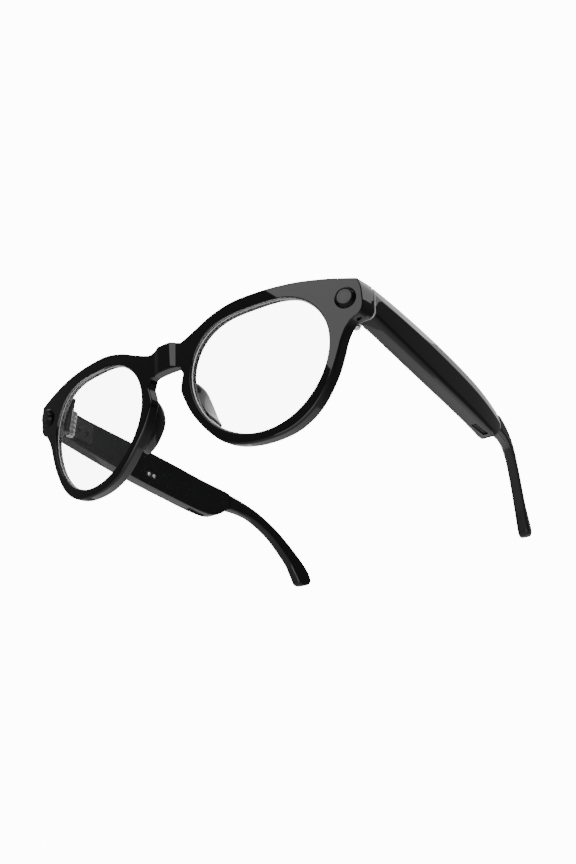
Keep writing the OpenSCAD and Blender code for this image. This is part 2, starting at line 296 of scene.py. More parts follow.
def rounded_box(name: str, low: Sequence[float], high: Sequence[float], radius: float,
                segments: int = 3) -> bpy.types.Object:
    """Adds a box between two corners in millimetres, with rounded edges."""
    deselect_all()
    centre = [(a + b) / 2 * MM for a, b in zip(low, high)]
    bpy.ops.mesh.primitive_cube_add(size=1, location=centre)
    item = named(name)
    item.scale = [(b - a) * MM for a, b in zip(low, high)]
    bpy.ops.object.transform_apply(location=True, rotation=True, scale=True)
    bevel(item, radius, segments)
    return item


def softened_node(node: str, width: float, segments: int = 2) -> bpy.types.Object:
    """Copies a node's mesh, welds it and rounds its edges.

    Args:
        node: the node to copy; it is replaced by the copy.
        width: the size of the rounding, in millimetres.
        segments: steps of the rounding.

    Returns:
        The new piece, riding where the node rides.
    """
    source = frame["nodes"][node]
    pick(source)
    bpy.ops.object.duplicate()
    item = named(f"{node}_finished")
    item.parent = None
    item.matrix_world = Matrix.Identity(4)
    with editing(item):
        bpy.ops.mesh.remove_doubles(threshold=0.001 * MM)
        bpy.ops.mesh.dissolve_limited(angle_limit=math.radians(1.0))
    bevel(item, width, segments, 30)
    finish_shading(item, 30)
    return item


def turned(name: str, profile: Sequence[Point], place: Matrix, sides: int = 64) -> bpy.types.Object:
    """Turns a round piece by pulling a circle through a profile.

    Args:
        name: the piece's name.
        profile: points (radius, height) in millimetres; a profile that returns to its start makes a ring.
        place: where the piece goes.
        sides: how many sides the circle has.

    Returns:
        The new piece.
    """
    deselect_all()
    ring = math.dist(profile[0], profile[-1]) < 1e-6
    (radius, height), rest = profile[0], profile[1:]
    bpy.ops.mesh.primitive_circle_add(vertices=sides, radius=radius * MM, location=(0, 0, 0),
                                      fill_type="NOTHING" if ring else "NGON")
    item = named(name)
    with editing(item):
        bpy.ops.transform.translate(value=(0, 0, height * MM))
        bpy.ops.mesh.select_mode(type="EDGE" if ring else "FACE")
        bpy.ops.mesh.select_all(action="SELECT")
        for new_radius, new_height in rest:
            extrude((0, 0, (new_height - height) * MM))
            ratio = new_radius / radius
            bpy.ops.transform.resize(value=(ratio, ratio, 1), center_override=(0, 0, new_height * MM))
            radius, height = new_radius, new_height
        bpy.ops.mesh.select_all(action="SELECT")
        bpy.ops.mesh.remove_doubles(threshold=0.001 * MM)
        face_outwards()
    item.data.transform(place)
    return item


def weigh_edges(item: bpy.types.Object, rule: Callable[[Vector, float], float]) -> None:
    """Gives every edge a bevel weight.

    Args:
        item: the mesh object.
        rule: takes the edge's middle in millimetres and its bend in degrees, and returns the weight.
    """
    mesh = item.data
    beside: dict[tuple[int, int], list[bpy.types.MeshPolygon]] = {}
    for face in mesh.polygons:
        for key in face.edge_keys:
            beside.setdefault(tuple(sorted(key)), []).append(face)
    weights = mesh.attributes.new("bevel_weight_edge", "FLOAT", "EDGE")
    for edge in mesh.edges:
        faces = beside.get(tuple(sorted(edge.vertices)), [])
        if len(faces) != 2:
            continue
        one, two = faces
        bend = math.degrees(one.normal.angle(two.normal, 0.0))
        if (two.center - one.center).dot(one.normal) > 0:
            bend = -bend
        middle = (mesh.vertices[edge.vertices[0]].co + mesh.vertices[edge.vertices[1]].co) / 2 / MM
        weights.data[edge.index].value = rule(middle, bend)


def body_of(node: str) -> str:
    """Names the body that a node rides on."""
    bodies = frame["record"]["behaviour"]["bodies"]
    return next(name for name, members in bodies.items() if node in members)


def slot_of(node: str) -> str:
    """Names the material slot of a node."""
    return next(s["material_slot"] for s in frame["record"]["subparts"] if s["node"] == node)


def stand_for(item: bpy.types.Object, node: str, *materials: bpy.types.Material) -> None:
    """Dresses a piece, makes it ride and lets it stand for a node."""
    sides = [face.material_index for face in item.data.polygons]
    item.data.materials.clear()
    for material in materials:
        item.data.materials.append(material)
    item.data.polygons.foreach_set("material_index", [min(side, len(materials) - 1) for side in sides])
    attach(item, body_of(node))
    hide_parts(node)
    slot_of(node)
    LOG.info("%s: %d faces, for %s", item.name, len(item.data.polygons), node)


# ---- finishes ---------------------------------------------------------------------------------


def group_input(group: bpy.types.NodeTree, name: str, kind: str, value: float) -> None:
    """Adds a named input with a default value to a shader node group."""
    socket = group.interface.new_socket(name=name, in_out="INPUT", socket_type=kind)
    socket.default_value = value


def surface_group() -> bpy.types.NodeTree:
    """Builds the shared effect of a handled surface: fine waviness and faint wiping marks.

    Returns:
        The node group, with outputs Tone, Roughness and Normal.
    """
    group = bpy.data.node_groups.new("handled_surface", "ShaderNodeTree")
    for name, value in (("Scale", 60.0), ("Low Roughness", 0.05), ("High Roughness", 0.1),
                        ("Low Tone", 0.9), ("High Tone", 1.1), ("Waviness", 0.01)):
        group_input(group, name, "NodeSocketFloat", value)
    for name, kind in (("Tone", "NodeSocketFloat"), ("Roughness", "NodeSocketFloat"),
                       ("Normal", "NodeSocketVector")):
        group.interface.new_socket(name=name, in_out="OUTPUT", socket_type=kind)
    nodes, links = group.nodes, group.links
    given = nodes.new("NodeGroupInput")
    result = nodes.new("NodeGroupOutput")
    place = nodes.new("ShaderNodeTexCoord")
    broad = nodes.new("ShaderNodeTexNoise")
    broad.inputs["Detail"].default_value = 4.0
    fine = nodes.new("ShaderNodeTexNoise")
    fine.inputs["Scale"].default_value = 900.0
    fine.inputs["Detail"].default_value = 1.0
    links.new(place.outputs["Object"], broad.inputs["Vector"])
    links.new(place.outputs["Object"], fine.inputs["Vector"])
    links.new(given.outputs["Scale"], broad.inputs["Scale"])
    for low, high, out in (("Low Roughness", "High Roughness", "Roughness"), ("Low Tone", "High Tone", "Tone")):
        span = nodes.new("ShaderNodeMapRange")
        links.new(broad.outputs["Fac"], span.inputs["Value"])
        span.inputs["From Min"].default_value = 0.3
        span.inputs["From Max"].default_value = 0.7
        links.new(given.outputs[low], span.inputs["To Min"])
        links.new(given.outputs[high], span.inputs["To Max"])
        links.new(span.outputs["Result"], result.inputs[out])
    bump = nodes.new("ShaderNodeBump")
    bump.inputs["Distance"].default_value = 0.00002
    links.new(given.outputs["Waviness"], bump.inputs["Strength"])
    links.new(fine.outputs["Fac"], bump.inputs["Height"])
    links.new(bump.outputs["Normal"], result.inputs["Normal"])
    return group


@dataclass(frozen=True)
class Finish:
    """A surface finish: colour, gloss and its slight unevenness."""

    name: str
    colour: tuple[float, float, float]
    roughness: tuple[float, float] = (0.05, 0.09)
    tone: tuple[float, float] = (0.85, 1.15)
    metallic: float = 0.0
    ior: float = 1.5
    transmission: float = 0.0
    scale: float = 60.0
    waviness: float = 0.01

    def make(self, group: bpy.types.NodeTree) -> bpy.types.Material:
        """Builds the material.

        Args:
            group: the shared surface effect.

        Returns:
            The finished material.
        """
        material = bpy.data.materials.new(self.name)
        material.use_nodes = True
        nodes, links = material.node_tree.nodes, material.node_tree.links
        shader = nodes["Principled BSDF"]
        shader.inputs["Metallic"].default_value = self.metallic
        shader.inputs["IOR"].default_value = self.ior
        shader.inputs["Transmission Weight"].default_value = self.transmission
        effect = nodes.new("ShaderNodeGroup")
        effect.node_tree = group
        values = {"Scale": self.scale, "Low Roughness": self.roughness[0], "High Roughness": self.roughness[1],
                  "Low Tone": self.tone[0], "High Tone": self.tone[1], "Waviness": self.waviness}
        for name, value in values.items():
            effect.inputs[name].default_value = value
        tint = nodes.new("ShaderNodeMix")
        tint.data_type = "RGBA"
        tint.blend_type = "MULTIPLY"
        tint.inputs["Factor"].default_value = 1.0
        tint.inputs["A"].default_value = (*self.colour, 1.0)
        links.new(effect.outputs["Tone"], tint.inputs["B"])
        links.new(tint.outputs["Result"], shader.inputs["Base Color"])
        if self.roughness[0] < self.roughness[1]:
            links.new(effect.outputs["Roughness"], shader.inputs["Roughness"])
        else:
            shader.inputs["Roughness"].default_value = self.roughness[0]
        if self.waviness:
            links.new(effect.outputs["Normal"], shader.inputs["Normal"])
        return material


class Palette:
    """All finishes of the glasses, made once."""

    FINISHES = (
        Finish("polished_black", (0.0035, 0.0035, 0.004), (0.012, 0.03), waviness=0.004),
        Finish("inner_black", (0.005, 0.005, 0.0055), (0.05, 0.09), waviness=0.003),
        Finish("satin_black", (0.012, 0.012, 0.013), (0.28, 0.38), scale=200.0, waviness=0.2),
        Finish("moulded_black", (0.02, 0.02, 0.022), (0.45, 0.6), scale=300.0, waviness=0.5),
        Finish("bezel_black", (0.003, 0.003, 0.0035), (0.06, 0.12), ior=1.3),
        Finish("window_black", (0.012, 0.012, 0.014), (0.02, 0.04)),
        Finish("lens_clear", (0.93, 0.935, 0.94), (0.0, 0.0), (0.99, 1.0), transmission=1.0, waviness=0.0),
        Finish("ground_edge", (0.98, 0.985, 0.99), (0.3, 0.45), (0.98, 1.0)),
        # painted highlight: a paler grey on the temple shell's front rounding stands in for light caught at the
        # joint
        Finish("parting_edge", (0.6, 0.6, 0.61), (0.15, 0.25), (0.9, 1.05)),
        Finish("hinge_nickel", (0.78, 0.77, 0.76), (0.2, 0.32), (0.85, 1.05), metallic=1.0, scale=400.0,
               waviness=0.15),
        Finish("bright_steel", (0.75, 0.75, 0.76), (0.08, 0.18), (0.9, 1.05), metallic=1.0, scale=500.0),
        Finish("contact_plate", (0.9, 0.89, 0.87), (0.35, 0.45), (0.9, 1.0), metallic=1.0, scale=700.0),
        Finish("solder_mask", (0.015, 0.1, 0.05), (0.3, 0.4), (0.7, 1.2), scale=900.0),
        Finish("polyimide", (0.45, 0.2, 0.04), (0.3, 0.4), (0.8, 1.1), scale=500.0),
        Finish("cell_film", (0.07, 0.13, 0.3), (0.3, 0.45), (0.8, 1.1), scale=250.0),
    )

    def __init__(self) -> None:
        """Makes every material."""
        group = surface_group()
        self.by_name = {finish.name: finish.make(group) for finish in self.FINISHES}

    def __getitem__(self, name: str) -> bpy.types.Material:
        """Returns the material of that name."""
        return self.by_name[name]


# ---- front ------------------------------------------------------------------------------------


@dataclass
class Front:
    """The rim, bridge and end pieces, with the lenses and nose pads."""

    wrap_radius: float = 278.0
    tilt: float = 9.0
    rim: float = 4.2
    lens_x: float = 35.75
    lens_z: float = -0.4
    lens_radius: float = 22.5
    lens_depth: float = 1.1
    lens_thickness: float = 2.0
    groove: float = 0.8
    back_y: float = 13.8
    block_z: float = 7.4
    bridge_x: float = 7.6
    around: int = 96
    front_edge: float = 0.32
    facet: tuple[float, float, float] = (2.6, 4.7, 0.75)

    BROW = ((0, 17.9), (3.2, 17.8), (5.3, 17.0), (7.6, 16.6), (14, 18.9), (20, 21.4), (28, 23.4),
            (36, 23.8), (44, 23.6), (52, 22.8), (60, 21.3), (66, 19.8), (70.1, 18.7))
    SIDE = ((70.1, 18.7), (70.45, 17.6), (70.9, 15.4), (71, 10.8), (70.6, 8.7), (69.4, 7.2), (67.4, 6.2),
            (65.6, 4.2))
    LOWER = ((65.6, 4.2), (63.9, 1), (62.6, -2.8), (60.6, -8), (58, -12.7), (55, -16.9), (51.2, -20.4),
             (46.5, -23), (41, -24.3), (34.5, -24.6), (28, -23.7), (22.4, -21.5), (17.9, -17.9), (14.2, -14),
             (10.4, -9), (7.8, -3.9), (6.3, 0), (6.6, 1.6), (7.6, 5.4))
    KEYHOLE = ((7.6, 5.4), (7.2, 7.2), (5.4, 8.4), (0, 8.7))
    SEAM = ((60, 21.3), (60.4, 17), (60.4, 12), (60.5, 8.6), (61.6, 6.2), (63.4, 4.9), (65.6, 4.2))
    EYE = (66.0, 13.2)

    def opening(self, angle: float, grow: float = 0.0) -> Point:
        """Gives a point on the edge of a lens opening.

        Args:
            angle: direction from the lens centre, in degrees from the outer side.
            grow: how much wider than the opening.

        Returns:
            The point (x, height) in the plane of the front.
        """
        a = math.radians(angle)
        radius = (self.lens_radius + 0.18 - 0.18 * math.cos(a) + 0.43 * math.sin(a) + 1.9 * math.cos(2 * a)
                  - 0.21 * math.cos(3 * a) + 1.02 * math.sin(3 * a) - 0.2 * math.cos(4 * a) + grow)
        return self.lens_x + radius * math.cos(a), self.lens_z + radius * math.sin(a)

    def wrapped(self, x: float, depth: float, z: float) -> Vector:
        """Bends and leans a point of the flat front into place.

        Args:
            x: distance from the middle.
            depth: distance behind the front face.
            z: height in the plane of the front.

        Returns:
            The point in the row frame, in the same unit as given.
        """
        radius = self.wrap_radius - depth
        y = self.wrap_radius - math.sqrt(radius * radius - x * x)
        a = math.radians(self.tilt)
        return Vector((x, y * math.cos(a) - z * math.sin(a), y * math.sin(a) + z * math.cos(a)))

    def angle_of(self, point: Point) -> float:
        """Direction of a point from the lens centre, 0 to 360 degrees."""
        return math.degrees(math.atan2(point[1] - self.lens_z, point[0] - self.lens_x)) % 360

    def rim_edge(self) -> Callable[[float], Point]:
        """Makes the rule for the outer edge of the ring of quads around a lens.

        Returns:
            A function from the angle to a point (x, height).
        """
        top = [p for p in smooth_curve(self.BROW, 8) if self.bridge_x <= p[0] <= 60.01]
        low = smooth_curve(self.LOWER, 8)
        path = top[::-1] + [(7.6, 12.7), (7.6, 9.0)] + low[::-1] + smooth_curve(self.SEAM, 6)[::-1][1:]
        start = self.angle_of(path[0])
        table = sorted([((self.angle_of(p) - start) % 360, p) for p in path[:-1]]) + [(360.0, path[-1])]

        def edge(angle: float) -> Point:
            """Finds the outer point in a direction."""
            want = (angle - start) % 360
            for (a0, p0), (a1, p1) in zip(table, table[1:]):
                if want <= a1:
                    part = (want - a0) / max(a1 - a0, 1e-9)
                    return p0[0] + (p1[0] - p0[0]) * part, p0[1] + (p1[1] - p0[1]) * part
            return table[-1][1]

        return edge

    def stations(self) -> list[float]:
        """Angles of the ring's spokes; the four patch corners are always among them."""
        corners = sorted(self.angle_of(p) for p in ((60, 21.3), (65.6, 4.2), (7.6, 5.4), (7.6, 16.6)))
        angles: list[float] = []
        for low, high in zip(corners, corners[1:] + [corners[0] + 360]):
            count = max(2, round((high - low) / 360 * self.around))
            angles += [low + (high - low) * k / count for k in range(count)]
        return angles

    def plan(self) -> bpy.types.Object:
        """Builds one half of the front as a flat sheet of quads."""
        edge = self.rim_edge()
        angles = self.stations()
        count = len(angles)
        outer = [edge(a) for a in angles] + [edge(angles[0])]
        inner = [self.opening(a) for a in angles] + [self.opening(angles[0])]

        def ring_place(u: float, v: float) -> Sequence[float]:
            """Places the ring's points between the opening and the outer edge."""
            k = round(v * count)
            (x0, z0), (x1, z1) = inner[k], outer[k]
            return x0 + (x1 - x0) * u, 0.0, z0 + (z1 - z0) * u

        ring = mapped_grid("ring", 1, count, ring_place, closed=True)
        brow = smooth_curve(self.BROW, 12)
        crown = sorted(smooth_curve(self.KEYHOLE, 12))
        heights = sorted(p[1] for p in outer[:-1] if abs(p[0] - self.bridge_x) < 0.02 and 5 < p[1] < 17)
        columns = (7.6, 6.6, 5.6, 4.85, 4.55, 2.75, 2.45, 1.6, 0.8, 0.0)
        rows = len(heights) - 1

        def bridge_place(u: float, v: float) -> Sequence[float]:
            """Places the bridge's points between the crown of the keyhole and the brow."""
            x = columns[round(u * (len(columns) - 1))]
            share = (heights[round(v * rows)] - heights[0]) / (heights[-1] - heights[0])
            low, high = lookup(crown, x), lookup(brow, x)
            return x, 0.0, low + (high - low) * share

        bridge = mapped_grid("bridge", len(columns) - 1, rows, bridge_place)
        first, last = self.angle_of((65.6, 4.2)), self.angle_of((60, 21.3))
        seam = sorted((p for p, a in zip(outer[:-1], angles) if first - 0.01 <= a % 360 <= last + 0.01),
                      key=lambda p: p[1])
        wide, high = 8, len(seam) - 1
        top = spread([p for p in smooth_curve(self.BROW, 12) if p[0] >= 59.99], wide)
        under = spread(smooth_curve(self.SIDE[3:], 6)[::-1], wide)
        end = spread(smooth_curve(self.SIDE[:4], 6)[::-1], high)

        def end_place(u: float, v: float) -> Sequence[float]:
            """Blends the four edges of the end piece into a patch."""
            i, j = round(u * wide), round(v * high)
            point = []
            for axis in (0, 1):
                along = (1 - v) * under[i][axis] + v * top[i][axis]
                cross = (1 - u) * seam[j][axis] + u * end[j][axis]
                corner = ((1 - u) * (1 - v) * seam[0][axis] + u * (1 - v) * end[0][axis]
                          + (1 - u) * v * seam[-1][axis] + u * v * end[-1][axis])
                point.append(along + cross - corner)
            return point[0], 0.0, point[1]

        piece = mapped_grid("end", wide, high, end_place)
        return join([ring, bridge, piece], "front_frame_finished", 0.04)

    def build_frame(self) -> bpy.types.Object:
        """Extrudes, rounds, bends, carves and mirrors the front."""
        item = self.plan()
        layers = (self.lens_depth - 0.05, self.lens_thickness + 0.1)
        with editing(item):
            for depth in layers + (self.rim - sum(layers),):
                extrude((0, depth * MM, 0))
            face_outwards()
        self.cut_groove(item)
        self.grow_block(item)
        weigh_edges(item, self.edge_weight)
        apply_modifier(item, "BEVEL", width=1.0 * MM, segments=5, limit_method="WEIGHT",
                       use_clamp_overlap=False, loop_slide=True)
        for vertex in item.data.vertices:
            x, depth, z = (value / MM for value in vertex.co)
            depth += self.recess(x, z) * max(0.0, 1 - depth / self.lens_depth)
            vertex.co = self.wrapped(x, depth, z) * MM
        self.carve_end(item)
        with editing(item):
            select_faces(item, lambda centre, normal: centre.x < 0.01 * MM and abs(normal.x) > 0.9)
            bpy.ops.mesh.delete(type="FACE")
        twin = mirror_copy(item, "front_half")
        return join([item, twin], "front_frame_finished", 0.02)

    def recess(self, x: float, z: float) -> float:
        """How far the face stands back beside the flat middle of the bridge."""
        flat, foot, step = self.facet
        step += 0.03 * (min(max(z, 6.0), 18.0) - 12)
        rise = min(max((abs(x) - flat) / (foot - flat), 0.0), 1.0)
        fade = min(max((abs(x) - foot) / 18.0, 0.0), 1.0)
        return step * rise * (1 - fade) ** 2

    def from_opening(self, x: float, z: float) -> float:
        """Distance outwards from the lens opening's edge to a point of the flat front."""
        dx, dz = x - self.lens_x, z - self.lens_z
        edge = self.opening(math.degrees(math.atan2(dz, dx)))
        return math.hypot(dx, dz) - math.hypot(edge[0] - self.lens_x, edge[1] - self.lens_z)

    def cut_groove(self, item: bpy.types.Object) -> None:
        """Sinks the lens groove into the wall of the opening."""
        mid = (self.lens_depth + self.lens_thickness / 2) * MM

        def is_wall(centre: Vector, normal: Vector) -> bool:
            """Tells whether a face is the middle band of the opening's wall."""
            near = abs(self.from_opening(centre.x / MM, centre.z / MM)) < 0.15
            return near and abs(centre.y - mid) < 0.6 * MM and abs(normal.y) < 0.3

        with editing(item):
            select_faces(item, is_wall)
            bpy.ops.mesh.extrude_region_shrink_fatten(
                TRANSFORM_OT_shrink_fatten={"value": -(self.groove + 0.05) * MM})

    def block_depth(self, x: float, z: float) -> float:
        """Depth behind the face at which a point of the end piece meets the hinge plane."""
        a = math.radians(self.tilt)
        behind = (self.back_y + z * math.sin(a)) / math.cos(a)
        return self.wrap_radius - math.hypot(self.wrap_radius - behind, x)

    def grow_block(self, item: bpy.types.Object) -> None:
        """Pulls the back of the end piece out to the hinge, with a flat underside."""
        back = self.rim * MM

        def is_end(centre: Vector, normal: Vector) -> bool:
            """Tells whether a face is on the back of the end piece."""
            return (abs(centre.y - back) < 0.05 * MM and normal.y > 0.9 and centre.x > 60.4 * MM
                    and self.from_opening(centre.x / MM, centre.z / MM) > 0.8 and centre.z > 4.3 * MM)

        with editing(item):
            select_faces(item, is_end)
            extrude((0, 0.3 * MM, 0))
            bpy.ops.object.mode_set(mode="OBJECT")
            for vertex in item.data.vertices:
                if vertex.select:
                    vertex.co.z = max(vertex.co.z, self.block_z * MM)
            bpy.ops.object.mode_set(mode="EDIT")
            extrude((0, 2 * MM, 0))
            bpy.ops.object.mode_set(mode="OBJECT")
            for vertex in item.data.vertices:
                if vertex.select:
                    vertex.co.y = self.block_depth(vertex.co.x / MM, vertex.co.z / MM) * MM
            bpy.ops.object.mode_set(mode="EDIT")
            bpy.ops.mesh.select_all(action="SELECT")
            bpy.ops.mesh.remove_doubles(threshold=0.03 * MM)
            bpy.ops.mesh.dissolve_degenerate(threshold=0.02 * MM)
            face_outwards()

    def edge_weight(self, middle: Vector, bend: float) -> float:
        """Chooses how much an edge of the flat front is rounded.

        Args:
            middle: the edge's middle, in millimetres.
            bend: the angle between its faces in degrees, positive where it sticks out.

        Returns:
            The size of the rounding in millimetres.
        """
        x, depth, z = middle
        if bend < 30 or x < 0.01:
            return 0.0
        off = self.from_opening(x, z)
        if off < 1.2 and 0.5 < depth < self.rim - 0.5:
            return 0.0
        if off < 0.2:
            return 0.32
        if depth < 0.05:
            low = min(max((2 - z) / 8, 0.0), 1.0)
            soft = min(max((24 - x) / 8, 0.0), 1.0) * min(max((4 - z) / 6, 0.0), 1.0)
            return self.front_edge + 0.5 * low + 0.35 * soft
        return 0.5 if depth < self.rim + 0.1 else 0.4

    def on_face(self, x: float, z: float) -> Matrix:
        """Builds the place of a part on the front face, its +Z pointing forwards."""
        sag = self.wrap_radius - math.sqrt(self.wrap_radius ** 2 - x * x)
        turn = math.asin(x / self.wrap_radius)
        return (Matrix.Rotation(math.radians(self.tilt), 4, "X")
                @ Matrix.Translation(Vector((x, sag, z)) * MM)
                @ Matrix.Rotation(turn, 4, "Z") @ Matrix.Rotation(math.radians(90), 4, "X"))

    def carve_end(self, item: bpy.types.Object) -> None:
        """Cuts the hinge seat, the window's bore with its room, and the microphone's port."""
        carve(item, rounded_box("seat", (60.2, 13.0, 10.6), (70.0, 16.0, 19.8), 0.1, 1))
        place = self.on_face(*self.EYE)
        carve(item, turned("bore", ((2.4, -3.0), (2.4, 1.0)), place, 48))
        room = rounded_box("room", (-2.9, -2.8, -9.2), (2.9, 2.9, -1.6), 0.1, 1)
        room.data.transform(place)
        carve(item, room)
        carve(item, rounded_box("port_room", (66.6, 8.6, 9.4), (69.6, 10.8, 11.0), 0.1, 1))
        port = Matrix.Translation(Vector((68.2, 9.8, 0)) * MM)
        carve(item, turned("port", ((0.75, 5.0), (0.75, 9.0), (0.45, 9.2), (0.45, 10.0)), port, 24))

    def build_lens(self) -> bpy.types.Object:
        """Builds the left lens: two curved faces and a ground edge."""
        near, far = self.lens_depth + 0.04, self.lens_depth + self.lens_thickness - 0.04
        scales = (0.0, 0.25, 0.5, 0.75, 0.954, 0.992)
        rows = [(scale, near) for scale in scales] + [(1.0, near + 0.15), (1.0, far - 0.15)]
        rows += [(scale, far) for scale in reversed(scales)]

        def place(u: float, v: float) -> Sequence[float]:
            """Places the lens's points in rings from one middle over the edge to the other."""
            scale, depth = rows[round(u * (len(rows) - 1))]
            x, z = self.opening(v * 360, self.groove - 0.04)
            return self.wrapped(self.lens_x + (x - self.lens_x) * scale, depth,
                                self.lens_z + (z - self.lens_z) * scale)

        item = mapped_grid("left_lens_finished", len(rows) - 1, 120, place, closed=True)
        with editing(item):
            face_outwards()
        item.data.materials.append(None)
        item.data.materials.append(None)
        upright = Matrix.Rotation(math.radians(-self.tilt), 3, "X")

        def at_edge(centre: Vector, normal: Vector) -> bool:
            """Tells whether a face belongs to the ground edge and its front rim."""
            flat = upright @ (centre / MM)
            return self.from_opening(flat.x, flat.z) > -0.35 and normal.y < 0.5

        paint(item, at_edge)
        finish_shading(item, 25)
        return item

    def build_pad(self) -> bpy.types.Object:
        """Builds the left nose pad as a soft fin."""
        root = ((8.9, 3.4, 3.6), (9.6, 3.8, -2), (12.2, 4.4, -7.6), (15.2, 5, -11.8))
        crest = ((9.7, 7.8, 3.1), (10.7, 10.7, -2), (13.4, 11, -8), (16.6, 10, -12.5))

        def place(u: float, v: float) -> Sequence[float]:
            """Places a point around the fin's section at one place along it."""
            t = u * 3
            low, high = Vector(curve_value(root, t)), Vector(curve_value(crest, t))
            after, before = curve_value(root, min(t + 0.1, 3)), curve_value(root, max(t - 0.1, 0))
            run = (Vector(after) - Vector(before)).normalized()
            rise = (high - low).normalized()
            side = run.cross(rise).normalized()
            close = min(t, 3 - t) / 0.42
            full = math.sqrt(max(1 - (1 - min(close, 1.0)) ** 2, 0.0004))
            a = v * 2 * math.pi
            big, small = 1.9 * full, 1.15 * full
            mid = (low + high) / 2
            reach = (high - low).length / 2 * (0.55 + 0.45 * full)
            lift = math.sin(a)
            radius = big + (small - big) * (0.5 + 0.5 * lift)
            return mid + rise * (lift * reach + radius * abs(lift) ** 3 * (1 if lift > 0 else -1)) \
                + side * math.copysign(abs(math.cos(a)) ** 0.75, math.cos(a)) * radius

        item = mapped_grid("left_nose_pad_finished", 48, 32, place, closed=True)
        close_ends(item)
        carve(item, self.face_slab())
        finish_shading(item, 60)
        return item

    def face_slab(self) -> bpy.types.Object:
        """Builds a curved slab as deep as the rim, to trim what stands against its back."""
        def place(u: float, v: float) -> Sequence[float]:
            """Places the slab's points from its front over to its back."""
            depth = (-6.0, self.rim - 0.25)[round(u)]
            return self.wrapped(40 * v, depth, 0)

        item = mapped_grid("slab", 1, 24, place)
        with editing(item):
            a = math.radians(self.tilt)
            up = Vector((0, -math.sin(a), math.cos(a))) * 60 * MM
            bpy.ops.transform.translate(value=-up / 2)
            extrude(up)
            face_outwards()
        return item

    def build_bezel(self) -> bpy.types.Object:
        """Turns the raised ring around a window."""
        profile = ((2.36, 0.05), (3.4, 0.05), (3.4, 0.12), (3.33, 0.25), (2.78, 1.14), (2.7, 1.24), (2.6, 1.29),
                   (2.5, 1.3), (2.42, 1.27), (2.36, 1.2), (2.36, 0.05))
        item = turned("camera_bezel_finished", profile, self.on_face(*self.EYE), 96)
        finish_shading(item, 30)
        return item

    def build_window(self) -> bpy.types.Object:
        """Turns the window's disc, with a shallow ring in its face."""
        profile = ((2.3, 0.1), (2.3, 1.05), (2.24, 1.13), (1.75, 1.15), (1.72, 1.1), (1.6, 1.1), (1.57, 1.15),
                   (0.9, 1.16), (0.2, 1.165))
        item = turned("camera_window_finished", profile, self.on_face(*self.EYE), 96)
        finish_shading(item, 30)
        return item

    def build(self, palette: "Palette") -> None:
        """Builds and dresses the whole front."""
        item = self.build_frame()
        finish_shading(item, 38)
        stand_for(item, "front_frame", palette["polished_black"])
        for make, part, colours in ((self.build_lens, "lens", ("lens_clear", "ground_edge")),
                                    (self.build_pad, "nose_pad", ("inner_black",))):
            left = make()
            right = mirror_copy(left, f"right_{part}_finished")
            for name, piece in (("left", left), ("right", right)):
                stand_for(piece, f"{name}_{part}", *(palette[c] for c in colours))
        for make, part, colour in ((self.build_bezel, "bezel", "bezel_black"),
                                   (self.build_window, "window", "window_black")):
            nodes = (f"camera_{part}", f"indicator_{part}")
            left = make()
            right = mirror_copy(left, f"{nodes[1]}_finished")
            for piece, node in zip((left, right), nodes):
                stand_for(piece, node, palette[colour])


# ---- temples ----------------------------------------------------------------------------------


